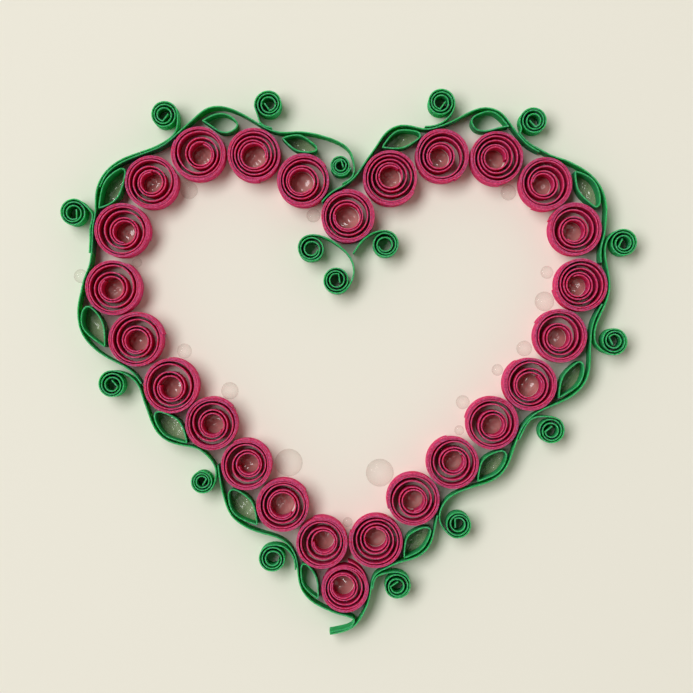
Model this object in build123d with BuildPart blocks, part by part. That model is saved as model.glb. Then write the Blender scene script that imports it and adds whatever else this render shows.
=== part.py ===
# Quilled paper heart: a wreath of rolled pink coils, green scrolls and leaves, and clear glue beads.
# Millimetres. The heart lies flat: strips stand on edge from z = 0, +Y is the top of the heart.
from build123d import *
from math import acos, atan2, cos, degrees, floor, hypot, pi, radians, sin
import os

os.makedirs("parts", exist_ok=True)

# Driving sizes
strip_width = 5.0
card = 0.30
seat = 0.06
rose_dia = 9.2
curl_radius = 2.4
curl_eye = 1.15
curl_air = 0.35
cleft_curl_radius = 1.82
cleft_curl_air = 0.13
cleft_curl_clear = 1.28
rose_eye = 1.6
rose_air = 0.36
sprung_end = 0.6
bead_rise = 0.8
bead_taper = 24
outer_bead = 1.2

# Worked out from them
layer = card + seat
half = card / 2
rose_radius = rose_dia / 2
chord = rose_dia / 4
leaf_chord = 0.8 * chord
lap = layer + card
rose_flats_per_turn = 7
curl_flats_per_turn = 8
band_flats = 12
rose_pitch = layer + rose_air
rose_room = rose_radius - lap - half - rose_eye
rose_flats = floor(rose_room / rose_pitch * rose_flats_per_turn)
curl_pitch = layer + curl_air
curl_flats = floor((curl_radius - curl_eye) / curl_pitch * curl_flats_per_turn)
band_taper = 0.4
spring_starts = 5 / 6
crease_swing = 110
sharpest = 0.5
bead_sides = 6

# Each coil came off the needle a little looser or tighter than rose_dia
swell = {
    1: 0.05, 3: 0.00, 4: 0.10, 6: 0.15, 7: 0.20, 8: 0.15, 9: 0.20, 11: -0.15,
    13: -0.10, 14: -0.45, 15: 0.05, 17: -0.05, 19: 0.05, 20: 0.05, 25: 0.05, 26: 0.15,
}

# The loose outer end of the lowest coil springs out between its two neighbours
sprung = {14: sprung_end}


def radius_of(coil):
    return rose_radius + swell.get(coil, 0)


def polar(centre, angle, reach):
    return (centre[0] + reach * cos(radians(angle)), centre[1] + reach * sin(radians(angle)))


def heading(first, second):
    return degrees(atan2(second[1] - first[1], second[0] - first[0]))


# The wreath starts at the coil in the cleft and runs down both sides
places = {1: (0.0, 0.0)}


def seat_side(steps):
    """Seat each coil on the last. A step is (next coil, heading in degrees, extra air over the seat)."""
    last = 1
    for coil, bearing, air in steps:
        reach = radius_of(last) + radius_of(coil) + seat + air
        places[coil] = polar(places[last], bearing, reach)
        last = coil


seat_side([
    (2, 141, layer), (3, 152, 0.20), (4, 179, 0.15), (5, -149, 0.05), (6, -121, 0.25), (7, -99, 0.20),
    (8, -66, 0.10), (9, -53, 0.20), (10, -43, 0.05), (11, -50, 0.0), (12, -48, 0.25), (13, -44, 0.0),
    (14, -63, 0.0),
])
seat_side([
    (26, 42, 0.35), (25, 23, 0.05), (24, -2, 0.10), (23, -28, 0.05), (22, -57, 0.05), (21, -84, 0.20),
    (20, -112, 0.15), (19, -122, 0.25), (18, -134, 0.0), (17, -135, 0.25), (16, -137, 0.0),
    (15, -132, 0.20),
])


def spot(coil, angle, lift):
    """Where the middle of a strip stands, lift millimetres clear of its seat on a coil."""
    return polar(places[coil], angle, radius_of(coil) + seat + half + lift)


def nook(first, second, gap, far_gap):
    """The place that clears two coils by the given gaps, on the left of the line from one to the other."""
    near_side = radius_of(first) + seat + gap
    far_side = radius_of(second) + seat + far_gap
    (x, y), (far_x, far_y) = places[first], places[second]
    apart = hypot(far_x - x, far_y - y)
    swing = degrees(acos((near_side ** 2 + apart ** 2 - far_side ** 2) / (2 * near_side * apart)))
    return polar((x, y), heading((x, y), (far_x, far_y)) + swing, near_side)


# Paths
def at(*marks):
    """Several spots in a row."""
    return [spot(*mark) for mark in marks]


def eye(coil, angle, air):
    """The middle of a curl that stands off a coil."""
    return spot(coil, angle, curl_radius + half + air)


def flow(marks, start=None, finish=None, step=chord):
    """Even flats along a smooth curve through the marks, leaving and arriving at the given headings."""
    leaving = heading(marks[0], marks[1]) if start is None else start
    arriving = heading(marks[-2], marks[-1]) if finish is None else finish
    ends = [polar((0, 0), leaving, 1), polar((0, 0), arriving, 1)]
    with BuildLine():
        guide = Spline(*marks, tangents=ends, tangent_scalars=[1, 1])
    flats = max(2, round(guide.length / step))
    lengths = [guide.length * count / flats for count in range(flats + 1)]
    stops = guide.positions(lengths, PositionMode.LENGTH)
    return [(stop.X, stop.Y) for stop in stops]


def end_heading(run):
    """The heading at the end of a run, carried on round its last bend."""
    last = heading(run[-2], run[-1])
    earlier = heading(run[-3], run[-2]) if len(run) > 2 else last
    return last + ((last - earlier + 180) % 360 - 180) / 2


def link(before, marks, after=None):
    """A path: a finished run, a smooth stretch through the marks, and the next finished run if any."""
    start = end_heading(before)
    if after is None:
        return before[:-1] + flow([before[-1]] + marks, start)
    finish = end_heading(after[::-1]) + 180
    return before[:-1] + flow([before[-1]] + marks + [after[0]], start, finish) + after[1:]


def curl(centre, leaves_at, sense, size=1.0, crease=True):
    """A rolled end, from the creased tip in its eye out to where the tail leaves it."""
    points = []
    for flats_left in range(curl_flats, -1, -1):
        turns = flats_left / curl_flats_per_turn
        reach = size * (curl_radius - curl_pitch * turns)
        points.append(polar(centre, leaves_at - sense * 360 * turns, reach))
    if crease:
        tip_at = leaves_at - sense * (360 * curl_flats / curl_flats_per_turn + crease_swing)
        points.insert(0, polar(centre, tip_at, size * curl_eye / 2))
    return points


def offset(points, amounts, closed=False):
    """The path moved to its left by the amount at each point, with mitred corners."""
    total = len(points)
    moved = []
    for index, (x, y) in enumerate(points):
        before = points[index - 1] if closed or index > 0 else None
        after = points[(index + 1) % total] if closed or index < total - 1 else None
        arriving = heading(before, (x, y)) if before else heading((x, y), after)
        leaving = heading((x, y), after) if after else arriving
        turn = (leaving - arriving + 180) % 360 - 180
        reach = amounts[index] / max(cos(radians(turn / 2)), sharpest)
        moved.append(polar((x, y), arriving + turn / 2 + 90, reach))
    return moved


def nearest(points, mark):
    return min(range(len(points)), key=lambda i: hypot(points[i][0] - mark[0], points[i][1] - mark[1]))


def beside(points, first, final, side):
    """The run of a strip glued flat against another, on its left or right, from one mark to the next."""
    run = offset(points, [side * layer] * len(points))
    begin, end = nearest(run, first), nearest(run, final)
    if begin < end:
        return run[begin:end + 1]
    return run[end:begin + 1][::-1]


def cut_back(points, amount):
    """The same run with its first end cut a little short."""
    return [polar(points[0], heading(points[0], points[1]), amount)] + points[1:]


# The separate curl in the cleft rests on coil 2, well clear of coil 1 and of the strips on it
cleft_curl_edge = cleft_curl_radius + half
cleft_eye = nook(2, 1, cleft_curl_edge + cleft_curl_air, cleft_curl_edge + 2 * layer + cleft_curl_clear)


def round_cleft_curl(angle, air):
    return polar(cleft_eye, angle, cleft_curl_edge + seat + half + air)


# Green strips. Left is +1 and right is -1, seen along the strip that a tail is glued to.
LEFT, RIGHT = 1, -1
CCW, CW = 1, -1

strips = {}
strips["vine_cleft_right"] = flow(at(
    (2, -49, 0.0), (2, -39, 0.0), (1, 121, 0.05), (1, 90, 0.75), (26, 170, 0.58), (26, 145, 0.05),
    (26, 114, 0.9), (26, 92, 3.05), (25, 144, 3.8), (25, 134, 2.0), (25, 118, 0.3), (25, 93, 0.2),
    (25, 69, 1.7), (25, 60, 3.3), (24, 117, 4.15), (24, 104, 3.85), (24, 91, 3.3), (24, 81, 2.45),
    (24, 65, 1.15), (24, 43, 0.45), (24, 21, 0.95), (23, 101, 0.7),
))
strips["vine_cleft_left"] = link(
    beside(strips["vine_cleft_right"], spot(1, 103, 0.7), spot(1, 86, 1.1), LEFT),
    [round_cleft_curl(-21, 0.20), round_cleft_curl(29, 0.34), round_cleft_curl(77, 1.26)] + at(
        (2, 56, 3.7), (2, 77, 3.3), (2, 97, 3.45),
        (3, 43, 0.7), (3, 81, 0.4), (3, 103, 1.9), (3, 118, 3.95), (4, 67, 3.7), (4, 80, 2.7),
        (4, 97, 1.1), (4, 127, 0.05), (4, 163, 0.85), (5, 91, 0.45), (5, 121, 0.3), (5, 150, 1.4),
        (5, 171, 2.9), (6, 117, 3.3),
    ),
)
strips["vine_left"] = link(
    cut_back(beside(strips["vine_cleft_left"], spot(5, 109, 0.7), spot(6, 116, 3.7), RIGHT), 2 * seat),
    at(
        (6, 131, 1.85), (6, 151, 0.3), (6, 178, 0.05), (6, -153, 0.65), (7, 126, 1.35), (7, 144, 0.15),
        (7, 164, 0.02), (7, 179, 0.1), (7, -164, 0.9), (7, -148, 1.95), (7, -130, 3.75), (8, 175, 4.05),
        (8, -168, 2.3), (8, -155, 1.2), (8, -135, 0.25), (8, -113, 0.05), (8, -94, 0.85), (9, 176, 0.02),
    ),
)
strips["vine_lower_right"] = link(
    flow(at((21, -43, 0.1), (21, -62, 0.85))),
    at(
        (20, 21, 1.05), (20, 0, 0.35), (20, -29, 1.0), (20, -57, 3.55), (19, -7, 3.45), (19, -21, 1.95),
        (19, -49, 0.2), (19, -78, 0.2), (18, 3, 1.0), (18, -11, 0.25), (18, -37, 0.3), (18, -58, 1.45),
        (18, -73, 3.1), (17, -21, 2.85), (17, -44, 0.85), (17, -74, 0.25), (17, -95, 1.1), (16, -9, 0.35),
        (16, -29, 0.45), (16, -44, 1.8),
    ),
    curl(eye(16, -29, 1.35), 210, CW)[::-1],
)
strips["vine_right"] = link(
    curl(eye(22, -16, 1.2), 125, CCW),
    at(
        (22, -12, 1.35), (22, -21, 0.95), (22, -35, 1.4), (21, 41, 0.85), (21, 13, 0.1), (21, -17, 0.15),
        (21, -44, 0.6), (21, -63, 1.7), (20, 10, 1.15), (20, -10, 1.25),
    ),
    curl(eye(20, -5, 1.8), -125, CW)[::-1],
)
strips["vine_upper_right"] = link(
    link(
        curl(eye(24, 45, 1.5), 195, CCW),
        at((24, 48, 1.25)),
        beside(strips["vine_cleft_right"], spot(24, 36, 1.0), spot(23, 101, 1.1), LEFT),
    ),
    at(
        (23, 82, 0.1), (23, 64, 0.05), (23, 34, 1.0), (23, 13, 2.75), (22, 62, 3.8), (22, 45, 2.45),
        (22, 33, 1.55), (22, 20, 0.75), (22, -13, 0.2), (22, -30, 0.4), (22, -44, 1.2), (21, 48, 0.25),
    ),
)
strips["vine_bottom_right"] = flow(at(
    (16, -34, 0.1), (16, -47, 0.8), (16, -59, 1.85), (15, -9, 3.95), (15, -16, 3.15), (15, -26, 2.0),
    (15, -43, 0.45), (15, -65, 0.05), (15, -87, 0.5), (14, 16, 0.5), (14, 2, 0.1), (14, -27, 0.2),
    (14, -46, 0.6), (14, -70, 1.85), (14, -92, 2.95), (14, -108, 3.8),
))
strips["vine_bottom_left"] = flow(at(
    (11, -179, 0.1), (11, -162, 0.15), (11, -138, 1.0), (11, -121, 2.4), (11, -108, 4.1), (12, -156, 2.9),
    (12, -128, 1.05), (12, -92, 1.0), (13, -166, 0.35), (13, -143, 0.6), (13, -126, 2.05), (14, 179, 3.05),
    (14, -162, 1.8), (14, -128, 0.25), (14, -90, 0.25), (14, -77, 0.7),
))
# Its end is bent sharply back and glued along the strip from the other side
strips["vine_bottom_left"] += at((14, -73, 1.25), (14, -75, 1.65))
strips["vine_bottom_left"] += beside(
    strips["vine_bottom_right"], spot(14, -79, 2.0), spot(14, -108, 3.5), RIGHT)
strips["vine_lower_left"] = link(
    curl(eye(8, -118, 1.2), 70, CW),
    at(
        (8, -107, 1.15), (9, 171, 1.5), (9, 179, 0.5), (9, -169, 0.15), (9, -141, 0.4), (9, -126, 1.25),
        (9, -107, 3.1), (10, -163, 3.75), (10, -146, 1.6), (10, -134, 0.6), (10, -118, 0.05),
        (10, -98, 0.65), (10, -87, 1.75), (11, -171, 0.6), (11, -150, 1.55),
    ),
    curl(eye(11, -159, 0.8), -60, CCW, size=0.82)[::-1],
)
strips["scroll_top_left"] = link(
    curl(eye(3, 74, 1.5), 190, CCW),
    at((3, 86, 2.1), (3, 83, 1.3)),
    beside(strips["vine_cleft_left"], spot(3, 76, 0.8), spot(3, 52, 0.9), RIGHT),
)
strips["scroll_upper_left"] = link(
    curl(eye(4, 132, 1.35), -10, CW),
    at((4, 127, 1.0)),
    beside(strips["vine_cleft_left"], spot(4, 142, 0.6), spot(5, 109, 0.7), RIGHT),
)
strips["scroll_left"] = link(
    curl(eye(6, 160, 1.25), 30, CW),
    at((6, 148, 1.1)),
    beside(strips["vine_left"], spot(6, 166, 0.4), spot(7, 130, 1.6), RIGHT),
)
strips["scroll_top_right"] = link(
    curl(eye(25, 91, 1.65), -8, CW),
    at((25, 76, 2.9), (25, 80, 1.8)),
    beside(strips["vine_cleft_right"], spot(25, 92, 0.6), spot(25, 118, 0.8), LEFT),
)
strips["scroll_lower_right"] = link(
    curl(eye(19, -66, 1.3), 100, CCW),
    at((19, -72, 0.9), (19, -84, 1.2)),
    beside(strips["vine_lower_right"], spot(18, 3, 1.3), spot(18, -24, 0.6), LEFT),
)
strips["scroll_bottom_right"] = link(
    curl(eye(15, -65, 1.05), 95, CCW),
    at((15, -73, 0.85), (15, -84, 1.1)),
    beside(strips["vine_bottom_right"], spot(14, 12, 0.9), spot(14, -6, 0.5), LEFT),
)
strips["scroll_bottom_left"] = link(
    curl(eye(13, -162, 1.5), 85, CW, crease=False),
    at((12, -92, 2.1)),
    beside(strips["vine_bottom_left"], spot(13, -155, 0.8), spot(13, -131, 1.8), RIGHT),
)
strips["scroll_window"] = link(
    curl(eye(1, -138, 0.9), 80, CW, crease=False),
    at((1, -134, 0.35), (1, -108, 0.35), (1, -88, 1.75), (1, -84, 3.75), (1, -84, 5.3)),
    curl(eye(1, -100, 3.6), -20, CCW)[::-1],
)
strips["scroll_window_side"] = link(
    curl(eye(1, -37, 0.6), 105, CCW, crease=False),
    at((1, -35, 0.25), (1, -63, 0.16), (1, -76, 0.6), (1, -81, 1.5)),
)
strips["curl_cleft"] = curl(cleft_eye, -11, CCW, size=cleft_curl_radius / curl_radius)

# Leaves. A pointed leaf has an outer side, then an inner side back to its tip. A drop is one bend.
pointed_leaves = {
    2: ([(2, 67, 0.95), (2, 95, 2.9), (3, 29, 0.75)], [(2, 98, 0.2)]),
    3: ([(5, 155, 0.3), (5, 177, 2.7), (6, 135, 0.5)], [(6, 114, 0.12), (5, -156, 1.3), (5, -173, 0.25)]),
    4: ([(7, -144, 0.55), (7, -130, 3.15), (8, -168, 0.5)], [(7, -112, 0.65)]),
    5: ([(9, -119, 0.3), (9, -102, 2.95), (10, -143, 0.55)], [(10, 175, 0.85)]),
    6: ([(11, -121, 0.45), (11, -107, 3.5), (12, -144, 0.65)], [(12, 168, 1.05)]),
    7: ([(13, -131, 0.05), (14, 174, 2.75), (14, -160, 0.5)], [(13, -103, 0.65)]),
    8: ([(15, -30, 0.75), (15, -7, 3.3), (16, -61, 0.9)], [(15, 11, 0.9)]),
    9: ([(17, -36, 0.55), (18, -77, 2.85), (18, -66, 0.55)], [(17, 8, 0.7)]),
    10: ([(19, -25, 0.55), (20, -63, 3.3), (20, -51, 0.8)], [(19, 15, 1.1)]),
    11: ([(22, 45, 0.6), (22, 62, 3.2), (23, 10, 2.25), (23, 21, 0.7)], [(23, -14, 1.1)]),
    13: ([(25, 136, 0.25), (26, 81, 3.1), (26, 104, 0.4)], [(26, 66, 0.7)]),
}
drop_leaves = {
    1: [(4, 82, 0.7), (4, 60, 0.15), (4, 38, 0.8), (3, 121, 0.9), (4, 62, 2.75)],
    12: [(24, 71, 0.85), (24, 88, 2.4), (24, 103, 3.2), (24, 128, 2.5), (24, 117, 0.3), (24, 96, 0.1)],
}
leaves = {}
for number, (outer, inner) in pointed_leaves.items():
    outer_side = flow(at(*outer), step=leaf_chord)
    inner_side = flow(at(outer[-1], *inner, outer[0]), step=leaf_chord)
    leaves[number] = outer_side[:-1] + inner_side[:-1]
for number, marks in drop_leaves.items():
    leaves[number] = flow(at(*marks, marks[0]), step=leaf_chord)[:-1]

# Coils: heading of the eye's drift off centre and its share of the room in the coil, where the outer
# end lies, winding
coils = {
    1: (-135, 0.05, 100, CCW), 2: (-154, 0.20, 30, CW), 3: (-116, 0.11, -80, CCW),
    4: (-21, 0.21, 150, CW), 5: (-70, 0.05, 20, CCW), 6: (-39, 0.20, -20, CW), 7: (-125, 0.11, 60, CCW),
    8: (-80, 0.11, 10, CW), 9: (-88, 0.17, 95, CCW), 10: (-45, 0.11, 40, CW), 11: (7, 0.20, 120, CCW),
    12: (165, 0.05, 30, CW), 13: (30, 0.20, 110, CCW), 14: (140, 0.17, 85, CCW), 15: (90, 0.17, 160, CW),
    16: (-75, 0.11, 200, CCW), 17: (67, 0.11, 100, CW), 18: (-62, 0.17, 170, CCW),
    19: (-110, 0.13, 120, CW), 20: (-130, 0.20, 150, CCW), 21: (-163, 0.20, -170, CW),
    22: (-126, 0.17, 160, CCW), 23: (-162, 0.20, -120, CW), 24: (-167, 0.13, -80, CCW),
    25: (-162, 0.20, -60, CW), 26: (104, 0.11, -30, CCW),
}


def rose(coil):
    """Middle line and half thickness of a coil: loose turns, then two tight ones drawn as one band."""
    drift_heading, drift_share, ends_at, sense = coils[coil]
    radius = radius_of(coil)
    points, halves = [], []
    for flats_left in range(rose_flats, 0, -1):
        turns = flats_left / rose_flats_per_turn
        middle = polar(places[coil], drift_heading, drift_share * rose_room * flats_left / rose_flats)
        reach = radius - lap - half - rose_pitch * turns
        points.append(polar(middle, ends_at - sense * 360 * (1 + turns), reach))
        halves.append(half)
    for count in range(band_flats + 1):
        share = count / band_flats
        thick = half * (1 + min(1, share / band_taper, (1 - share) / band_taper))
        edge = radius - lap * max(0, 1 - share / band_taper)
        edge += sprung.get(coil, 0) * max(0, share - spring_starts) / (1 - spring_starts)
        points.append(polar(places[coil], ends_at - sense * 360 * (1 - share), edge - thick))
        halves.append(thick)
    return points, halves


def stray(coil, angle, radius, over=0.0):
    """A bead squeezed out at one side of a coil, or over a strip there."""
    return polar(places[coil], angle, radius_of(coil) + seat + over + radius)


# Glue beads, each a place and a radius: in the notch between two coils, or squeezed out beside one
beads = [(nook(first, second, radius, radius), radius) for first, second, radius in [
    (1, 2, 1.2), (4, 5, 1.5), (6, 7, 0.85), (13, 15, 0.85), (17, 18, 0.85), (19, 20, 1.35), (20, 21, 1.7),
    (23, 24, 1.35),
]]
beads += [(stray(coil, angle, radius), radius) for coil, angle, radius in [
    (9, 72, 1.3), (10, 63, 1.5), (12, 83, 2.4), (16, 143, 2.4), (18, 144, 1.2), (19, 156, 1.0),
    (21, 157, 1.1),
]]
beads.append((stray(7, 161, outer_bead, over=layer + seat), outer_bead))

# Outlines, moved so that the middle of the whole heart is the origin
outlines = {}
for coil in sorted(coils):
    line, halves = rose(coil)
    back = offset(line, [-value for value in halves])
    outlines[f"rose_{coil:02d}"] = [offset(line, halves) + back[::-1]]
for name, line in strips.items():
    outlines[name] = [offset(line, [half] * len(line)) + offset(line, [-half] * len(line))[::-1]]
for number, line in sorted(leaves.items()):
    rim = offset(line, [-half] * len(line), closed=True)
    hole = offset(line, [half] * len(line), closed=True)
    outlines[f"leaf_{number:02d}"] = [rim, hole]

corners = [corner for shapes in outlines.values() for corner in shapes[0]]
middle_x = (max(x for x, y in corners) + min(x for x, y in corners)) / 2
middle_y = (max(y for x, y in corners) + min(y for x, y in corners)) / 2


def placed(points):
    return [(x - middle_x, y - middle_y) for x, y in points]


for name, shapes in outlines.items():
    with BuildPart() as piece:
        with BuildSketch():
            with BuildLine():
                Polyline(*placed(shapes[0]), close=True)
            make_face()
            for hole in shapes[1:]:
                with BuildLine():
                    Polyline(*placed(hole), close=True)
                make_face(mode=Mode.SUBTRACT)
        extrude(amount=strip_width)
    piece.part.label = name
    export_step(piece.part, f"parts/{name}.step")

with BuildPart() as glue_beads:
    for middle, radius in beads:
        with BuildSketch():
            with Locations(*placed([middle])):
                RegularPolygon(radius / cos(pi / bead_sides), bead_sides)
        extrude(amount=bead_rise * radius, taper=bead_taper)
glue_beads.part.label = "glue_beads"
export_step(glue_beads.part, "parts/glue_beads.step")
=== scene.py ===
# %% [markdown]
# # A quilled paper heart
# Quilling is rolled paper craft. Narrow strips stand on edge, are wound round a needle, let go a
# little, and are glued side by side. This heart is a wreath of 26 pink rolls with green strips,
# curls and leaves round it, and beads and thin films of clear glue.
# All of it could be drawn from nothing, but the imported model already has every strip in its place.
# So this script reads each strip's line from that model, and carries the section of a real paper
# strip along it.

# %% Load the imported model
import math

import bpy
import numpy as np
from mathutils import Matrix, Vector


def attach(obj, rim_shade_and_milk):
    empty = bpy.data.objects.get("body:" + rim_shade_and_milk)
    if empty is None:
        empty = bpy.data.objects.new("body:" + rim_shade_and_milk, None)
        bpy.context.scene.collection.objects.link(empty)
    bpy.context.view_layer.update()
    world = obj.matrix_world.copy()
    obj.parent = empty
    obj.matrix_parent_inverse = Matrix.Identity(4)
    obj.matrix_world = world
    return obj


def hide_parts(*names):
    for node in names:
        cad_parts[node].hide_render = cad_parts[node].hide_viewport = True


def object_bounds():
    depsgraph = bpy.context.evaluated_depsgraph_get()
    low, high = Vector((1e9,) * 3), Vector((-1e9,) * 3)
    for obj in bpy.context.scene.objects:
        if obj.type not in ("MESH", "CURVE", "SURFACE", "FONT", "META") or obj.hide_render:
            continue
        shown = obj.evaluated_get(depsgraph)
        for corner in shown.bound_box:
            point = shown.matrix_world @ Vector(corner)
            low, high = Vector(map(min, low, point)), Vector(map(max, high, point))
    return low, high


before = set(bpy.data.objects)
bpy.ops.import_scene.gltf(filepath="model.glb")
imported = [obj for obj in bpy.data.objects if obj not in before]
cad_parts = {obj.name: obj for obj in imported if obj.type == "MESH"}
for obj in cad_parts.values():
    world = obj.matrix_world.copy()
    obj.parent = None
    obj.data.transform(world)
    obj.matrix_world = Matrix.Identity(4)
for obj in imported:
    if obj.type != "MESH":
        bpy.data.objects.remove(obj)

MM = 0.001
cad_low, cad_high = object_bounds()
print("packed nodes:", len(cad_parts))

# %% [markdown]
# ## The camera
# The heart lies flat and is seen straight from above, so the camera hangs over the middle of the
# picture with no turn at all: a camera looks down its own -Z, and its up is +Y. One without
# perspective would be simpler, but it would hide the outer rolls' walls. How much of them shows gives
# this camera its height, and the width of the view at the strips' top edges gives it its lens.

# %% The camera
camera_height = 310 * MM
middle_of_view = np.array([-0.366, 2.604]) * MM
view_width = 117.8 * MM
strip_width = float(cad_high[2] - cad_low[2])

lens = bpy.data.cameras.new("camera")
lens.lens = lens.sensor_width * (camera_height - strip_width) / view_width
camera = bpy.data.objects.new("camera", lens)
camera.location = (*middle_of_view, camera_height)
bpy.context.scene.collection.objects.link(camera)
bpy.context.scene.camera = camera
bpy.context.scene.view_settings.view_transform = "Standard"
print("camera", round(camera_height / MM, 1), "mm up, lens", round(lens.lens, 1), "mm")

# %% [markdown]
# ## Colours and nodes
# A colour is written as a designer writes it, as sRGB hex. Shaders count in linear light, so one
# function turns the one into the other. Another adds a node with its settings, values and links,
# which is all that a material here is built from.

# %% Colours and nodes
def colour(code):
    """sRGB hex to linear: a channel c becomes c / 12.92 up to 0.04045, and
    ((c + 0.055) / 1.055) ** 2.4 above it."""
    channels = np.array([int(code[start:start + 2], 16) for start in (1, 3, 5)]) / 255
    linear = np.where(channels <= 0.04045, channels / 12.92, ((channels + 0.055) / 1.055) ** 2.4)
    return (*linear.tolist(), 1.0)


def add(tree, kind, values=(), links=(), **settings):
    """One shader node: its own settings, the values of its sockets, and the outputs that feed them."""
    node = tree.nodes.new(kind)
    for name, value in settings.items():
        setattr(node, name, value)
    for socket, value in dict(values).items():
        node.inputs[socket].default_value = value
    for socket, source in dict(links).items():
        tree.links.new(source, node.inputs[socket])
    return node


def new_material(name):
    """An empty material, its node tree and its output node."""
    material = bpy.data.materials.new(name)
    material.use_nodes = True
    material.node_tree.nodes.clear()
    return material, material.node_tree, add(material.node_tree, "ShaderNodeOutputMaterial")


# A Mix node in colour mode keeps its sockets under these numbers
MIX_A, MIX_B, MIX_RESULT = 6, 7, 2
print("#E0608A in linear light:", [round(c, 3) for c in colour("#E0608A")])

# %% [markdown]
# ## The floor
# The heart lies on plain cream card, which is matt and evenly coloured. A backdrop bent up behind it
# could hide the horizon, but straight from above a flat square is enough. It is stage, not part of
# the heart.

# %% The floor
floor_half_width = 1500 * MM

floor_corners = floor_half_width * np.array([[-1, -1, 0], [1, -1, 0], [1, 1, 0], [-1, 1, 0]])
floor_mesh = bpy.data.meshes.new("floor")
floor_mesh.from_pydata(floor_corners.tolist(), [], [(0, 1, 2, 3)])
floor = bpy.data.objects.new("floor", floor_mesh)
bpy.context.scene.collection.objects.link(floor)

cream_card, tree, output = new_material("cream_card")
shader = add(tree, "ShaderNodeBsdfPrincipled", {"Base Color": colour("#EAE7DA"), "Roughness": 0.9})
tree.links.new(shader.outputs[0], output.inputs["Surface"])
floor_mesh.materials.append(cream_card)
print("floor", round(2 * floor_half_width, 1), "m wide")

# %% [markdown]
# ## The window
# Most of the light comes from one large window at the upper left. A sun lamp could throw shadows as
# soft, but its disc is round, and a window is wider than it is high. So it is an area lamp, which
# the glue mirrors as small glints, and an ellipse, which gives them no corners. It stands high, so
# that a strip's shadow is about half as long as the strip is wide. Its lengths are in metres.
# Window and room together give the floor an irradiance of about pi, and then a colour renders as it
# is written. An ellipse with half axes a and b, d away from the heart and facing it, gives a surface
# that faces it an irradiance of its power / (pi sqrt(d^2 + a^2) sqrt(d^2 + b^2)). The floor is turned
# away from it, and gets that times the sine of the window's elevation.

# %% The window
window_share = 0.7
window_distance = 2.4
window_width = 2.0
window_height = 1.1
window_azimuth = math.radians(152)
window_elevation = math.radians(65)

toward = np.array([
    math.cos(window_elevation) * math.cos(window_azimuth),
    math.cos(window_elevation) * math.sin(window_azimuth),
    math.sin(window_elevation),
])
lamp = bpy.data.lights.new("window", "AREA")
lamp.shape = "ELLIPSE"
lamp.size = window_width
lamp.size_y = window_height
spread_out = math.hypot(window_distance, window_width / 2)
spread_out *= math.hypot(window_distance, window_height / 2)
lamp.energy = window_share * math.pi ** 2 * spread_out / toward[2]
lamp.color = colour("#FDFEFF")[:3]
window = bpy.data.objects.new("window", lamp)
window.location = toward * window_distance
window.rotation_euler = (math.pi / 2 - window_elevation, 0, window_azimuth + math.pi / 2)
bpy.context.scene.collection.objects.link(window)
print("window lamp", round(lamp.energy, 2), "W")

# %% [markdown]
# ## The pale room
# The rest of the light comes from pale walls and a ceiling. An even grey world could stand for them,
# but it would fill the gaps between the turns too well, because those see only what is overhead.
# What hangs over a work table, such as an unlit lamp, shades it from there. So the world's strength
# s(z) falls off with the height z on a sphere of radius 1. It gives the floor 2 pi times the mean of
# s(z) z, which has to be the room's share of pi.
# A ray from the camera, off a gloss or through glass meets a plain pale backdrop instead. So what
# lies behind the floor is pale in a low view too, with no more light on the heart.

# %% The pale room
shade_height = [0.65, 0.90]
shade = [1.0, 0.15]

sky_height = np.linspace(0, 1, 1001)
on_floor = np.interp(sky_height, shade_height, shade) * sky_height
room_level = (1 - window_share) / (2 * on_floor.mean())
world = bpy.data.worlds.new("pale_room")
world.use_nodes = True
bpy.context.scene.world = world
sky = world.node_tree
sky.nodes.clear()
rays = add(sky, "ShaderNodeLightPath")
direction = add(sky, "ShaderNodeTexCoord")
split = add(sky, "ShaderNodeSeparateXYZ", links={0: direction.outputs["Generated"]})
level = add(sky, "ShaderNodeMapRange", {
    "From Min": shade_height[0], "From Max": shade_height[1],
    "To Min": room_level * shade[0], "To Max": room_level * shade[1]}, {"Value": split.outputs["Z"]})
fill = add(sky, "ShaderNodeBackground", {"Color": colour("#FFF7EC")}, {"Strength": level.outputs[0]})
backdrop = add(sky, "ShaderNodeBackground", {"Color": colour("#F1EEE4"), "Strength": 1.0})
mirrored = add(sky, "ShaderNodeMath", links={
    0: rays.outputs["Is Glossy Ray"], 1: rays.outputs["Is Transmission Ray"]}, operation="MAXIMUM")
in_sight = add(sky, "ShaderNodeMath", links={
    0: rays.outputs["Is Camera Ray"], 1: mirrored.outputs[0]}, operation="MAXIMUM")
seen = add(sky, "ShaderNodeMixShader", links={
    0: in_sight.outputs[0], 1: fill.outputs[0], 2: backdrop.outputs[0]})
add(sky, "ShaderNodeOutputWorld", links={"Surface": seen.outputs[0]})
strengths = [round(room_level * part, 2) for part in shade]
print("room strength low and overhead:", strengths)

# %% [markdown]
# ## A mottled dye
# Pulp takes dye unevenly, so paper is never one flat colour, which would look like plastic. A picture
# of real paper could be laid on it, but it would stretch and repeat. Noise in the object's own
# coordinates, with clouds of a real size, does neither.

# %% A mottled dye
# Fibres lie in clouds about a millimetre wide. A single fibre is about 0.03 mm wide, too fine to show,
# so the grain and the edge's fuzz are drawn about one and two pixels coarse
fibre_cloud = 0.9 * MM
fibre_grain = 0.16 * MM
edge_fuzz = 0.35 * MM
# Noise seldom leaves the middle of its range, so that middle is spread over the whole mix
cloud_range = {"From Min": 0.35, "From Max": 0.65}
fuzz_range = {"From Min": 0.38, "From Max": 0.62}


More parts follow.
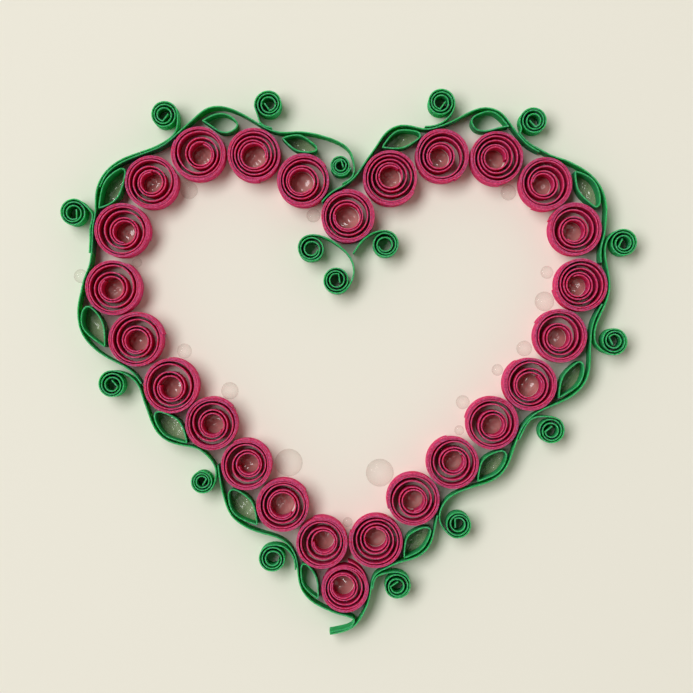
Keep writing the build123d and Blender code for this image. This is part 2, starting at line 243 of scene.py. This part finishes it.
def mottled(tree, place, size, detail, middle_range, dark, light):
    """A dye that wanders between a dark and a light colour, over clouds of a real size."""
    clouds = add(tree, "ShaderNodeTexNoise", {"Scale": 1 / size, "Detail": detail}, {"Vector": place})
    spread = add(tree, "ShaderNodeMapRange", middle_range, {"Value": clouds.outputs["Fac"]})
    mix = add(tree, "ShaderNodeMix", {MIX_A: colour(dark), MIX_B: colour(light)},
              {0: spread.outputs[0]}, data_type="RGBA")
    return mix.outputs[MIX_RESULT]


print("clouds a metre:", round(1 / fibre_cloud), "in the face,", round(1 / edge_fuzz), "in the edge")

# %% [markdown]
# ## Paper
# Quilling paper is plain uncoated wood pulp paper, about 120 grams a square metre, dyed in the pulp
# and slit by rotary knives. Its faces are matt with a faint mottle of fibres. The slit edge is rough,
# takes the light unevenly and looks a little different from the face, so the material reads where the
# edge is from an attribute that every strip carries.
# Paper as thin as this also lets light through, in its own colour, so that the turns glow into the
# gaps between them. A translucent sheet could show that, but these strips are solid and closed, so
# subsurface scattering carries the light through them.

# %% Paper
fibre_relief = 0.012 * MM
glow_depth = 0.7 * MM


def paper(name, face, face_dark, edge, edge_dark, glow):
    """Dyed paper: its face wanders between two colours over clouds of fibres, and its slit edge
    between two more over its fuzz. Glow is how far red, green and blue light pass through it, as
    shares of the glow depth."""
    material, tree, output = new_material(name)
    place = add(tree, "ShaderNodeTexCoord").outputs["Object"]
    face_dye = mottled(tree, place, fibre_cloud, 3.0, cloud_range, face_dark, face)
    edge_dye = mottled(tree, place, edge_fuzz, 2.0, fuzz_range, edge_dark, edge)
    cut = add(tree, "ShaderNodeAttribute", attribute_name="slit_edge")
    dye = add(tree, "ShaderNodeMix", links={0: cut.outputs["Fac"], MIX_A: face_dye, MIX_B: edge_dye},
              data_type="RGBA")
    grain = add(tree, "ShaderNodeTexNoise", {"Scale": 1 / fibre_grain, "Detail": 2.0}, {"Vector": place})
    relief = add(tree, "ShaderNodeBump", {"Strength": 0.6, "Distance": fibre_relief},
                 {"Height": grain.outputs["Fac"]})
    shader = add(tree, "ShaderNodeBsdfPrincipled",
                 {"Roughness": 0.85, "IOR": 1.45, "Specular IOR Level": 0.15, "Subsurface Weight": 1.0,
                  "Subsurface Radius": glow, "Subsurface Scale": glow_depth},
                 {"Base Color": dye.outputs[MIX_RESULT], "Normal": relief.outputs[0]})
    tree.links.new(shader.outputs[0], output.inputs["Surface"])
    return material


pink_paper = paper("dyed_pink_quilling_paper", face="#E2346C", face_dark="#CE2A5E",
                   edge="#E65C88", edge_dark="#C63A64", glow=(1.0, 0.2, 0.25))
green_paper = paper("dyed_green_quilling_paper", face="#34B268", face_dark="#289C56",
                    edge="#56BE80", edge_dark="#34A05E", glow=(0.2, 1.0, 0.3))
print("papers:", pink_paper.name, green_paper.name)

# %% [markdown]
# ## The outline on the floor
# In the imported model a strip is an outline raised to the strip's width. Its points could be typed in
# again, but then the paper and the model would drift apart at the first change. So they are read from
# the mesh: the strip's bottom triangles lie on the floor, and their edges that belong to one triangle
# alone are the outline. Walked from end to end, those edges make closed rings.

# %% The outline on the floor
grid_step = 0.001 * MM


def rings_on_floor(name):
    """The outline of a node where it stands: closed rings of (x, y) in metres, walked in order."""
    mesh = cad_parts[name].data
    points = np.empty(len(mesh.vertices) * 3, np.float32)
    mesh.vertices.foreach_get("co", points)
    corners = np.empty(len(mesh.loops), np.int32)
    mesh.loops.foreach_get("vertex_index", corners)
    steps = np.round(points.reshape(-1, 3) / grid_step).astype(int)
    places, index = np.unique(steps, axis=0, return_inverse=True)
    faces = index.reshape(-1)[corners].reshape(-1, 3)
    faces = faces[(places[faces, 2] == 0).all(axis=1)]
    sides = np.concatenate([faces[:, [0, 1]], faces[:, [1, 2]], faces[:, [2, 0]]])
    used = {tuple(side) for side in sides}
    after = {start: end for start, end in sides if (end, start) not in used}
    rings = []
    while after:
        start, step = after.popitem()
        ring = [start]
        while step != start:
            ring.append(step)
            step = after.pop(step)
        rings.append(places[ring, :2] * grid_step)
    return sorted(rings, key=len, reverse=True)


print("vine_left:", len(rings_on_floor("vine_left")[0]), "points round its outline")

# %% [markdown]
# ## A strip's own line
# The outline could be raised again as it is, but the paper drawn here is thinner and has softer edges,
# so only the line down its middle is wanted. The outline has two short square ends, and the points
# between them pair up across the paper. The middle of each pair is a point of the strip's own line.

# %% A strip's own line
widest_end = 0.45 * MM
# A corner is square within this many degrees
square_within = 3


def turns(points, closed=False):
    """How far the line turns at each point, in degrees, + to the left. An open line's ends have 0."""
    steps = np.diff(points, axis=0, append=points[:1]) if closed else np.diff(points, axis=0)
    bearing = np.arctan2(steps[:, 1], steps[:, 0])
    change = bearing - np.roll(bearing, 1) if closed else np.diff(bearing)
    change = np.degrees((change + np.pi) % (2 * np.pi) - np.pi)
    return change if closed else np.concatenate([[0], change, [0]])


def strip_line(name):
    """A strip's middle line, and half its thickness at each point: the pairs across it, halved."""
    ring = rings_on_floor(name)[0]
    square = np.abs(np.abs(turns(ring, closed=True)) - 90) < square_within
    lengths = np.hypot(*(np.roll(ring, -1, axis=0) - ring).T)
    ends = np.flatnonzero(square & np.roll(square, -1) & (lengths < widest_end))
    ring = np.roll(ring, -ends[0] - 1, axis=0)
    count = len(ring) // 2
    one_side, other_side = ring[:count], ring[count:][::-1]
    line = (one_side + other_side) / 2
    mitre = np.cos(np.radians(turns(line)) / 2)
    return line, np.hypot(*(one_side - other_side).T) / 2 * mitre


line, thick = strip_line("vine_left")
print("vine_left:", len(line), "points, paper", round(2 * thick.min() / MM, 3), "mm")

# %% [markdown]
# ## One smooth line
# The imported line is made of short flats. Real paper bends evenly, and turns sharply only where a
# fingernail creased it. Rounded corners would leave the flats between them straight, but a thin
# springy strip held at a few points takes nearly the shape of a natural cubic spline. So one goes
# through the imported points, and starts afresh at each crease.

# %% One smooth line
spacing = 0.2 * MM
# A corner of more than this many degrees is a crease
crease = 60


def smooth(points):
    """A natural cubic spline by chord length. On each stretch of length h, with a = 1 - b, it is
    a P0 + b P1 + ((a^3 - a) M0 + (b^3 - b) M1) h^2 / 6. The second derivatives M are 0 at both ends,
    and between them h0 M0 + 2 (h0 + h1) M1 + h1 M2 is six times the change of slope."""
    h = np.hypot(*np.diff(points, axis=0).T)
    knots = np.concatenate([[0], np.cumsum(h)])
    bends = np.zeros_like(points)
    if len(points) > 2:
        slopes = np.diff(points, axis=0) / h[:, None]
        system = np.diag(2 * (h[:-1] + h[1:])) + np.diag(h[1:-1], 1) + np.diag(h[1:-1], -1)
        bends[1:-1] = np.linalg.solve(system, 6 * np.diff(slopes, axis=0))
    along = np.linspace(0, knots[-1], max(2, math.ceil(knots[-1] / spacing) + 1))
    at = np.clip(np.searchsorted(knots, along, side="right") - 1, 0, len(h) - 1)
    b = ((along - knots[at]) / h[at])[:, None]
    a = 1 - b
    pull = (a ** 3 - a) * bends[at] + (b ** 3 - b) * bends[at + 1]
    return a * points[at] + b * points[at + 1] + pull * h[at][:, None] ** 2 / 6


def creased(points):
    """The smooth line through the points, started afresh at every crease."""
    breaks = [0, *np.flatnonzero(np.abs(turns(points)) > crease), len(points) - 1]
    runs = [smooth(points[start:end + 1]) for start, end in zip(breaks, breaks[1:])]
    return np.concatenate([runs[0]] + [run[1:] for run in runs[1:]])


print("vine_left drawn smooth:", len(creased(line)), "points")

# %% [markdown]
# ## A skin over rows of points
# Every piece of this heart is a closed skin: paper strips are, and so are beads and films of glue.
# Curves with a bevel could make the strips, but not the rest. Here each piece is one array of rows of
# points, and all its faces come from the row and column numbers at once. The same function then serves
# a strip's section carried along its line and a dome's outline carried up its height.

# %% A skin over rows of points
facet_angle = math.radians(35)


def skin(name, rows, mark, levels, closed=False):
    """A mesh over a grid of points, rows x columns x 3, that closes round its columns. The last row
    joins the first where closed, and a fan of triangles caps each end where it doesn't. The material
    reads the attribute named by mark, which has a level for each point of the grid."""
    count, columns = rows.shape[:2]
    i, j = np.meshgrid(np.arange(count if closed else count - 1), np.arange(columns), indexing="ij")
    i = np.stack([i, i, i + 1, i + 1], axis=-1).reshape(-1, 4)
    j = np.stack([j, j + 1, j + 1, j], axis=-1).reshape(-1, 4)
    faces = ((i % count) * columns + j % columns).tolist()
    points = rows.reshape(-1, 3)
    if not closed:
        ends = np.stack([rows[0].mean(axis=0), rows[-1].mean(axis=0)])
        points = np.concatenate([points, ends])
        rim = np.arange(columns)
        next_rim = np.roll(rim, -1)
        hub = np.full(columns, len(points) - 2)
        last = (count - 1) * columns
        fan = np.stack([hub, next_rim, rim], axis=1)
        far_fan = np.stack([hub + 1, last + rim, last + next_rim], axis=1)
        faces += fan.tolist() + far_fan.tolist()
    mesh = bpy.data.meshes.new(name)
    mesh.from_pydata(points.tolist(), [], faces)
    values = np.zeros(len(points), np.float32)
    values[:count * columns] = np.broadcast_to(levels, (count, columns)).ravel()
    mesh.attributes.new(mark, "FLOAT", "POINT").data.foreach_set("value", values)
    mesh.polygons.foreach_set("use_smooth", [True] * len(mesh.polygons))
    mesh.set_sharp_from_angle(angle=facet_angle)
    return mesh


print("a corner of more than", round(math.degrees(facet_angle)), "degrees stays sharp")

# %% [markdown]
# ## A piece of the heart
# A mesh is only a shape, and an object puts it in the scene. The object could carry the piece's place,
# but then a pattern in the object's own coordinates would move with it on export. So the place is in
# the mesh, and the object stays at the origin.

# %% A piece of the heart
def set_out(mesh, material, node=None):
    """The mesh as a piece of the heart, at the origin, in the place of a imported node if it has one."""
    mesh.materials.append(material)
    piece = bpy.data.objects.new(mesh.name, mesh)
    bpy.context.scene.collection.objects.link(piece)
    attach(piece, "root")
    if node:
        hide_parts(node)


print("kinds of packed node:", sorted({name.split("_")[0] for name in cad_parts}))

# %% [markdown]
# ## The section of a strip
# A slit strip is a long thin ribbon with two faces and two narrow cut edges. A flat curve raised and
# thickened would have edges as sharp as sheet metal. So its section is drawn instead, as eight points
# with the four corners taken off. A level of 1 marks the points at the two cut edges, for the paper
# to read.

# %% The section of a strip
paper_half = 0.105 * MM
chamfer = 0.03 * MM

across = np.array([-1, -1, 1, 1, 1, 1, -1, -1]) * paper_half
across[[1, 2, 5, 6]] *= 1 - chamfer / paper_half
up = np.array([chamfer, 0, 0, chamfer, strip_width - chamfer, strip_width, strip_width,
               strip_width - chamfer])
cut_edge = np.array([0, 1, 1, 0, 0, 1, 1, 0], np.float32)
print("strip", round(strip_width / MM, 2), "mm wide, paper", round(2 * paper_half / MM, 2), "mm thick")

# %% [markdown]
# ## A hand's small errors
# By hand no turn is set down perfectly. Noise could push every point by itself, but a stiff strip
# strays in long soft waves. So an error is the mean of a few sines, whose lengths and starts come
# from a seed and stay the same in every run.

# %% A hand's small errors
wave_count = 3


def wander(length, seed, shortest=5 * MM, longest=20 * MM):
    """A steady hand's error along a line, from -1 to 1: the mean of a few sines of seeded wavelengths
    and starts."""
    draw = np.random.default_rng(seed)
    waves = draw.uniform(shortest, longest, wave_count)
    starts = draw.uniform(0, 2 * np.pi, wave_count)
    return np.sin(2 * np.pi * length[:, None] / waves + starts).sum(axis=1) / wave_count


print("errors at 0, 5 and 10 mm with seed 1:", wander(np.array([0, 5, 10]) * MM, 1).round(2))

# %% [markdown]
# ## Standing a strip on edge
# A strip stands on one cut edge. A curve object could carry its section too, but not let it dip on
# the way. So it is carried along the line as one array: at each point it leans a little, and its top
# edge dips by up to a tenth of a millimetre.

# %% Standing a strip on edge
deepest_dip = 0.10 * MM
furthest_lean = 0.05 * MM
# A corner's mitre grows no further where the cosine of half its turn is below this
sharp_turn = 0.5


def left_of(path, closed=False):
    """The direction across the line at each point, to its left, longer at a corner to keep the width."""
    steps = np.diff(path, axis=0, append=path[:1]) if closed else np.diff(path, axis=0)
    steps = steps / np.hypot(*steps.T)[:, None]
    before = np.roll(steps, 1, axis=0) if closed else np.concatenate([steps[:1], steps])
    after = steps if closed else np.concatenate([steps, steps[-1:]])
    halfway = (before + after) / 2
    length = np.maximum(np.hypot(*halfway.T), sharp_turn)[:, None]
    return np.stack([-halfway[:, 1], halfway[:, 0]], axis=1) / length ** 2


def stand(name, path, material, node, closed=False, stray=0.0):
    """A paper strip on edge along the path. A point of its section that is x across and z up lies at
    path + side (x + lean z / width), z (1 - dip / width) high. A closed strip's errors ease off to
    where it joins, and stray is how far the path itself may wander."""
    seed = sum(ord(letter) * place for place, letter in enumerate(name, 1))
    step = np.hypot(*np.diff(path, axis=0).T)
    along = np.concatenate([[0], np.cumsum(step)])
    ease = np.sin(np.pi * np.arange(len(path)) / len(path)) if closed else np.ones(len(path))
    side = left_of(path, closed)
    lean = furthest_lean * ease * wander(along, seed)
    dip = deepest_dip * (0.5 + 0.5 * ease * wander(along, seed + 1))
    path = path + side * (stray * wander(along, seed + 2))[:, None]
    height = up * (1 - dip[:, None] / strip_width)
    leaning = across + lean[:, None] * up / strip_width
    plan = path[:, None] + side[:, None] * leaning[..., None]
    rows = np.concatenate([plan, height[..., None]], axis=-1)
    set_out(skin(name, rows, "slit_edge", cut_edge, closed), material, node)


bent_line = np.array([[0, 0], [1, 0], [1, 1]])
print("left of a line that turns a corner:", left_of(bent_line).round(2).tolist())

# %% [markdown]
# ## Fitting circles and spirals
# The mean of a roll's points isn't its centre, because the eye drifted and took them along. Three
# points of its outer circle could give the centre, but each is rounded a little. Least squares finds
# the circle that lies closest to many, and in the same way how far a spiral's eye drifted.

# %% Fitting circles and spirals
def circle_through(points):
    """Centre and radius by least squares: 2 c.p + k = p.p for every point, and R^2 = k + c.c."""
    system = np.column_stack([2 * points, np.ones(len(points))])
    x, y, k = np.linalg.lstsq(system, (points ** 2).sum(axis=1), rcond=None)[0]
    return np.array([x, y]), math.sqrt(k + x * x + y * y)


def around(angle):
    """The direction at each angle, as rows of (cosine, sine)."""
    return np.stack([np.cos(angle), np.sin(angle)], axis=-1)


def eye_drift(loose, angle):
    """How far the eye drifted. Point k of n lies at drift (1 - k / n) + (eye + room k / n) along its
    own angle from the roll's centre, and least squares finds drift, eye and room."""
    share = np.arange(len(loose)) / len(loose)
    along = around(angle)
    still = np.zeros_like(share)
    system = np.concatenate([
        np.stack([1 - share, still, along[:, 0], share * along[:, 0]], axis=1),
        np.stack([still, 1 - share, along[:, 1], share * along[:, 1]], axis=1)])
    return np.linalg.lstsq(system, loose.T.ravel(), rcond=None)[0][:2]


found_centre, found_radius = circle_through(3 + 2 * around(np.arange(5)))
print("a circle round (3, 3) of radius 2 is found at", found_centre.round(3), round(found_radius, 3))

# %% [markdown]
# ## Measuring a roll
# Each pink roll is one long strip. It was wound round a needle, let go so that the inner turns sprang
# apart, and glued shut with its last two turns pulled tight. Its packed points could be followed one
# by one, but they space the loose turns evenly, and draw the two tight turns as one thick band. So
# only its measures are taken: the band's outer circle, the angle at which the strip ends, the way it
# winds, its loose turns, and how far its eye drifted off the middle.

# %% Measuring a roll
# The band goes round once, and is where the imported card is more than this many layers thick
band_turns = 1
band_layers = 1.1
# These of its points are clear of its joint and of its outer end
band_points = slice(-8, -2)


def measured_roll(name):
    """The centre and the outer radius of a roll's band, the angle of its outer end, its sense (+1 to
    the left), its loose turns, its eye's drift, and how far the outer end stands off the band."""
    line, thick = strip_line(name)
    if thick[1] > thick[-2]:
        line, thick = line[::-1], thick[::-1]
    card_half = thick.min()
    joint = int(np.argmax(thick > band_layers * card_half)) - 1
    outward = line[band_points] - line[:joint].mean(axis=0)
    outward /= np.hypot(*outward.T)[:, None]
    centre, radius = circle_through(line[band_points] + outward * thick[band_points, None])
    arm = line[-1] - centre
    ends_at = math.atan2(arm[1], arm[0])
    bend = np.median(np.radians(turns(line)[1:joint]))
    sense = np.sign(bend)
    loose_turns = joint / round(2 * np.pi / np.abs(bend))
    left = loose_turns * (1 - np.arange(joint) / joint) + band_turns
    drift = eye_drift(line[:joint] - centre, ends_at - sense * 2 * np.pi * left)
    return centre, radius, ends_at, sense, loose_turns, drift, np.hypot(*arm) + card_half - radius


rolls = sorted(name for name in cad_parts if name.startswith("rose"))
print(len(rolls), "rolls, the first", round(2 * measured_roll(rolls[0])[1] / MM, 2), "mm across")

# %% [markdown]
# ## Winding a roll
# A spiral that opens evenly could be wound, but it looks like a spring made by a machine. A
# hand-wound roll has a closed eye, where the strip laps its own start. Then come three loose turns.
# The second opens most, because the first stayed near the eye and the third sprang against the tight
# turns, but in a few rolls they are nearly even. The tight turns climb by one thickness of paper and a
# hair of glue each. In one roll the outer end came unstuck, and swings out over its last sixth of a
# turn.

# %% Winding a roll
tight_turns = 2
glue_line = 0.01 * MM
tight_pitch = 2 * paper_half + glue_line
# An eye's radius as a share of its roll's. Rolls with a wide eye, and even ones, go by their numbers
eye_share = 0.38
wide_eye_share = 0.44
wide_eyes = {1, 2, 3, 12, 14, 19}
eye_lap = 0.8
eye_pitch = 0.26 * MM
spring_share = 1 / 6
# The loose turns' own errors, which die away over the last share of the way to the tight turns
loose_error = 0.06 * MM
calm_share = 1 / 4
# How far a roll has opened at each third of the way from its eye to its tight turns
sprung_open = [0, 0.25, 0.78, 1]
evenly_open = [0, 0.30, 0.66, 1]
even_rolls = {3, 15, 21, 24, 26}


def roll_path(name):
    """A roll's whole line from its eye to its outer end, how far each point may stray, and its eye's
    middle and radius. Between the eye and the tight turns the radius grows by the share that each
    turn has opened, and the middle drifts back to the roll's own by the same share. The eye's lap
    and the tight turns gain a fixed pitch each turn."""
    centre, radius, ends_at, sense, loose_turns, drift, sprung = measured_roll(name)
    number = int(name[-2:])
    eye = (wide_eye_share if number in wide_eyes else eye_share) * radius
    lapped = eye + eye_pitch * eye_lap
    full = radius - paper_half
    step = spacing / (2 * np.pi * radius)

    turned = np.arange(-eye_lap, loose_turns, step)
    share = np.clip(turned / loose_turns, 0, 1)
    opening = evenly_open if number in even_rolls else sprung_open
    opened = np.interp(share * (len(opening) - 1), range(len(opening)), opening)
    room = full - tight_turns * tight_pitch - lapped
    out = lapped + room * opened + eye_pitch * np.minimum(turned, 0)
    angle = ends_at + sense * 2 * np.pi * (turned - loose_turns - tight_turns)
    loose = centre + drift * (1 - opened[:, None]) + out[:, None] * around(angle)

    turned = np.arange(0, tight_turns, step)
    out = full - tight_pitch * (tight_turns - turned)
    if sprung > 2 * paper_half:
        out += sprung * np.maximum(0, turned - tight_turns + spring_share) / spring_share
    tight = centre + out[:, None] * around(ends_at + sense * 2 * np.pi * (turned - tight_turns))
    stray = np.zeros(len(loose) + len(tight))
    stray[:len(loose)] = loose_error * np.minimum(1, (1 - share) / calm_share)
    return np.concatenate([loose, tight]), stray, (centre + drift, eye)


print(rolls[0], "wound:", len(roll_path(rolls[0])[0]), "points")

# %% [markdown]
# ## The rolls
# One roll could be copied 26 times and turned, but then its small errors would repeat. So each is
# wound and stood on edge by itself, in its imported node's place. The middle and the radius of its eye
# are kept for the glue that lies in it.

# %% The rolls
eyes = {}
for name in rolls:
    path, stray, eyes[name[-2:]] = roll_path(name)
    stand("rolled_coil_" + name[-2:], path, pink_paper, name, stray=stray)
print(len(eyes), "rolls, the last", round(np.hypot(*np.diff(path, axis=0).T).sum() / MM), "mm of strip")

# %% [markdown]
# ## Rolled ends
# The curl at the end of a green strip was wound tight and let go a little. Its outer turns lie close
# together, then there is a gap, then one last turn, most often with the crease that the needle's slot
# left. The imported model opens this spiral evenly. It could be followed too, but then the curl looks
# like a watch spring. So it is wound again round the same middle, and its radius falls as the real
# one's does.

# %% Rolled ends
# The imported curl: flats in all and in a turn, which bend alike within this many degrees
curl_flats = 14
flats_per_turn = 8
half_turn = flats_per_turn // 2
alike_within = 6
# The radius, as a share of the outermost, after each of these turns from the outside in
wound = np.array([0, 0.5, 1, 1.5, 2, 2.5, 2.75])
wound_radius = np.array([1, 0.85, 0.80, 0.70, 0.52, 0.48, 0.46])
# The creased tip lies this far round from the last turn's end, at this share of the same radius
tip_swing = math.radians(110)
tip_radius = 0.32


def wind_start(line):
    """The line with the rolled end at its start, if there is one, wound again. Points half a turn
    apart on a spiral that loses p a turn lie opposite each other, 2 r - p / 2 apart, which gives p,
    r and the middle."""
    bends = turns(line)
    first = int(abs(bends[1]) > crease)
    ring = line[first:first + curl_flats + 1][::-1]
    steady = np.abs(np.abs(bends[first + 1:first + curl_flats]) - 360 / flats_per_turn) < alike_within
    if len(steady) < curl_flats - 1 or not steady.all():
        return line
    opposite = ring[half_turn:] - ring[:-half_turn]
    spans = np.hypot(*opposite.T)
    pitch = -half_turn * np.diff(spans).mean()
    if pitch <= 0:
        return line
    radius = (spans[0] + pitch / 2) / 2
    middle = ring[0] + opposite[0] * radius / spans[0]
    arm, next_arm = ring[0] - middle, ring[1] - middle
    sense = np.sign(arm[0] * next_arm[1] - arm[1] * next_arm[0])
    turn = np.linspace(0, wound[-1], round(wound[-1] * flats_per_turn) + 1)
    out = radius * np.interp(turn, wound, wound_radius)
    angle = math.atan2(arm[1], arm[0]) + sense * 2 * np.pi * turn
    if first:
        out = np.append(out, radius * tip_radius)
        angle = np.append(angle, angle[-1] + sense * tip_swing)
    spiral = middle + out[:, None] * around(angle)
    return np.concatenate([spiral[::-1], line[first + curl_flats + 1:]])


line = strip_line("scroll_window")[0]
print("scroll_window:", len(line), "points,", len(wind_start(line)), "with its first end wound again")

# %% [markdown]
# ## The green strips
# The vines are strips laid in waves against the rolls and glued at their crests. The scrolls are
# shorter strips that end in a curl, and one more curl lies in the cleft. They could be bent by hand
# as curves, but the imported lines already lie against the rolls. So those are made smooth, and the
# strips are stood on edge as the rolls are.

# %% The green strips
strips = sorted(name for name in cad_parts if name.startswith(("vine", "scroll", "curl")))
for name in strips:
    line = wind_start(wind_start(strip_line(name)[0])[::-1])
    stand("quilled_" + name, creased(line), green_paper, name)
print(len(strips), "green strips")

# %% [markdown]
# ## A leaf's line
# A leaf is a short strip bent into a loop. Its ends lap and are glued at one tip, and the other tip is
# pinched between two nails, so its sides bulge most towards the lap. Two leaves have one tip alone,
# as a drop has. A leaf's line lies halfway between its packed rim and its packed hole. Its sides are
# simple bends there. Their points could be moved by hand, but each would be a guess, so one rule
# makes every side fuller.

# %% A leaf's line
plump = 0.15
blunt = 0.35
# Leaves by their numbers
laps_at_left = {4, 5, 6, 7}
one_tip = {1, 12}


def plump_side(points):
    """A leaf's side from its pinched tip to its lapped one. Its height over the chord, as a share r of
    the highest, becomes r ^ (1 - plump - blunt t), where t is how far along the chord it is."""
    side = smooth(points)
    chord = side[-1] - side[0]
    length = np.hypot(*chord)
    along, over = chord / length, np.array([-chord[1], chord[0]]) / length
    t = (side - side[0]) @ along / length
    height = (side - side[0]) @ over
    top = np.abs(height).max()
    share = np.abs(height) / top
    fuller = np.sign(height) * top * share ** (1 - plump - blunt * np.clip(t, 0, 1))
    return side[0] + (t * length)[:, None] * along + fuller[:, None] * over


def leaf_line(name):
    """The closed line halfway between a leaf's rim and its hole, plumped between its two tips. A leaf
    with one tip is one smooth loop."""
    rim, hole = rings_on_floor(name)
    hole = hole[::-1]
    shift = min(range(len(hole)), key=lambda k: ((rim - np.roll(hole, k, axis=0)) ** 2).sum())
    line = (rim + np.roll(hole, shift, axis=0)) / 2
    tips = np.argsort(-np.abs(turns(line, closed=True)))[:2]
    if int(name[-2:]) in one_tip:
        line = np.roll(line, -tips[0], axis=0)
        return smooth(np.concatenate([line, line[:1]]))[:-1]
    left, right = sorted(tips, key=lambda k: line[k, 0])
    lap, pinch = (left, right) if int(name[-2:]) in laps_at_left else (right, left)
    line = np.roll(line, -pinch, axis=0)
    lap = (lap - pinch) % len(line)
    there = plump_side(line[:lap + 1])
    back = plump_side(np.concatenate([line[lap:], line[:1]])[::-1])[::-1]
    return np.concatenate([there, back[1:-1]])


print("leaf_04:", len(leaf_line("leaf_04")), "points round its line")

# %% [markdown]
# ## The leaves
# A leaf could be an open strip whose two ends meet, but its end caps would be left inside the paper.
# So its line is closed, the section runs on round it, and its errors ease off to where it joins.

# %% The leaves
leaves = sorted(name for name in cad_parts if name.startswith("leaf"))
for name in leaves:
    stand("quilled_" + name, leaf_line(name), green_paper, name, closed=True)
print(len(leaves), "leaves")

# %% [markdown]
# ## Dried glue
# The glue is a clear craft glue, polyvinyl acetate in water, that dries smooth and glossy. It could be
# glass that bends the light under it. A skin as thin as this bends hardly any, so it is a gloss that
# hides a little of what lies under it, and an attribute says where it hides more. It is pale on the
# card. In the leaves and the rolls' eyes its tint is painted shade: greenish in the leaves, where
# their paper colours the light, and rosy in the eyes, where the pink walls colour it.

# %% Dried glue
def clear(name, tint, least, most):
    """Dried clear glue. It hides the least of what lies under it where its attribute is 0, and the most
    where it is 1: at a bead's rim, which is painted shade, and on a film's milky ridges. A thin hard
    coat of gloss gives it small sharp glints."""
    material, tree, output = new_material(name)
    rim_shade_and_milk = add(tree, "ShaderNodeAttribute", attribute_name="rim_shade_and_milk")
    cover = add(tree, "ShaderNodeMapRange", {"To Min": least, "To Max": most},
                {"Value": rim_shade_and_milk.outputs["Fac"]})
    shader = add(tree, "ShaderNodeBsdfPrincipled",
                 {"Base Color": colour(tint), "Roughness": 0.05, "IOR": 1.46, "Coat Weight": 0.4,
                  "Coat Roughness": 0.05, "Specular IOR Level": 0.7}, {"Alpha": cover.outputs[0]})
    tree.links.new(shader.outputs[0], output.inputs["Surface"])
    return material


clear_glue = clear("dried_clear_glue", "#CBBAAC", 0.03, 0.15)
# The leaves' greenish tint and the eyes' rosy one are painted shade, coloured by the light of the paper
# walls round them
leaf_glue_painted_green_shade = clear("dried_glue_in_leaves_painted_green_shade", "#A8B886", 0.40, 0.60)
eye_glue_painted_pink_shade = clear("dried_glue_in_eyes_painted_pink_shade", "#DA9A94", 0.50, 0.62)
print("glues:", clear_glue.name, leaf_glue_painted_green_shade.name, eye_glue_painted_pink_shade.name)

# %% [markdown]
# ## Beads of glue
# Drops of glue squeezed out beside the rolls and dried as low round domes. They show by their gloss
# and by a slightly darker rim. The rim is painted shade for the light that the slanting glue bends
# away where it is seen through slantwise. Half a sphere would stand too high, so each is a low dome
# over the largest circle inside the imported bead's six-sided foot.

# %% Beads of glue
dome_rings = 16
dome_columns = 48
top_tilt = 0.98 * np.pi / 2
# How narrow the beads' painted rim shade is
rim_power = 6
foot_height = 0.02 * MM
bead_sides = 6
bead_rise = 0.42

round_it = np.linspace(0, 2 * np.pi, dome_columns, endpoint=False)


def dome(outline, rise):
    """Rows of a low dome over an outline: at height angle a the outline shrinks to cos a and the height
    is rise sin a above the foot. With them comes a level for each row, a power of cos a, highest at the
    rim. On a bead it darkens the rim as painted shade, where the slanting glue would bend the light. It
    stops just short of its top, where the fan closes it."""
    tilt = np.linspace(0, top_tilt, dome_rings)[:, None]
    middle = outline.mean(axis=0)
    plan = middle + (outline - middle) * np.cos(tilt)[..., None]
    height = np.broadcast_to(foot_height + rise * np.sin(tilt), plan.shape[:2])
    return np.concatenate([plan, height[..., None]], axis=-1), np.cos(tilt) ** rim_power


beads = [ring for ring in rings_on_floor("glue_beads") if len(ring) == bead_sides]
for number, foot in enumerate(beads, 1):
    centre = foot.mean(axis=0)
    radius = np.hypot(*(foot - centre).T).min() * math.cos(math.pi / bead_sides)
    rows, rim = dome(centre + radius * around(round_it), bead_rise * radius)
    # The rim level is painted shade at the bead's edge
    mesh = skin(f"glue_bead_{number:02d}", rows, "rim_shade_and_milk", rim)
    set_out(mesh, clear_glue, "glue_beads")
print(len(beads), "beads of glue")

# %% [markdown]
# ## Films of glue
# In the leaves and the rolls' eyes the glue shrank as it dried and was left as a thin lumpy film.
# Small parts of its waves mirror the window, and show as glints, and it is milky where the waves are
# highest. A bump map could turn the light in the same way, but a low view would show it flat. So
# each film is a real dome with waves of its own. Its outline is the paper's own line drawn in a
# little, so that it meets the paper all round.

# %% Films of glue
film_rise = 0.30 * MM
film_lumps = 0.50
film_share = 0.97
ripples = [1.6 * MM, 3.6 * MM]
ridges = [0.62, 0.85]
filled_leaves = [2, 3, 4, 5, 6, 8, 9, 10, 11, 13]


def film(outline, seed):
    """A dome over the outline, raised and lowered by the product of a sine along X and one along Y,
    of seeded lengths and starts. It is milky where that product is highest, except at the rim."""
    rows, rim = dome(outline, film_rise)
    draw = np.random.default_rng(seed)
    waves = 2 * np.pi / draw.uniform(*ripples, 2)
    starts = draw.uniform(0, 2 * np.pi, 2)
    wave = np.sin(rows[..., :2] * waves + starts).prod(axis=-1)
    rows[..., 2] *= 1 + film_lumps * wave
    return rows, np.interp(wave, ridges, [0, 1]) * (1 - rim)


# A film's tint is painted shade: rosy in the eyes, from the pink light of the rolls' walls, and greenish
# in the leaves, from the light of their green paper
films = {}
for number, (middle, radius) in eyes.items():
    films["eye_" + number] = eye_glue_painted_pink_shade, middle + film_share * radius * around(round_it)
for number in filled_leaves:
    # A leaf's line runs clockwise, and a dome's faces point outwards over one that runs the other way
    loop = leaf_line(f"leaf_{number:02d}")[::-1]
    middle = loop.mean(axis=0)
    films[f"leaf_{number:02d}"] = leaf_glue_painted_green_shade, middle + film_share * (loop - middle)
for seed, (place, (glue, outline)) in enumerate(films.items()):
    rows, milky = film(outline, seed)
    set_out(skin("glue_film_" + place, rows, "rim_shade_and_milk", milky), glue)
print(len(films), "films of glue")
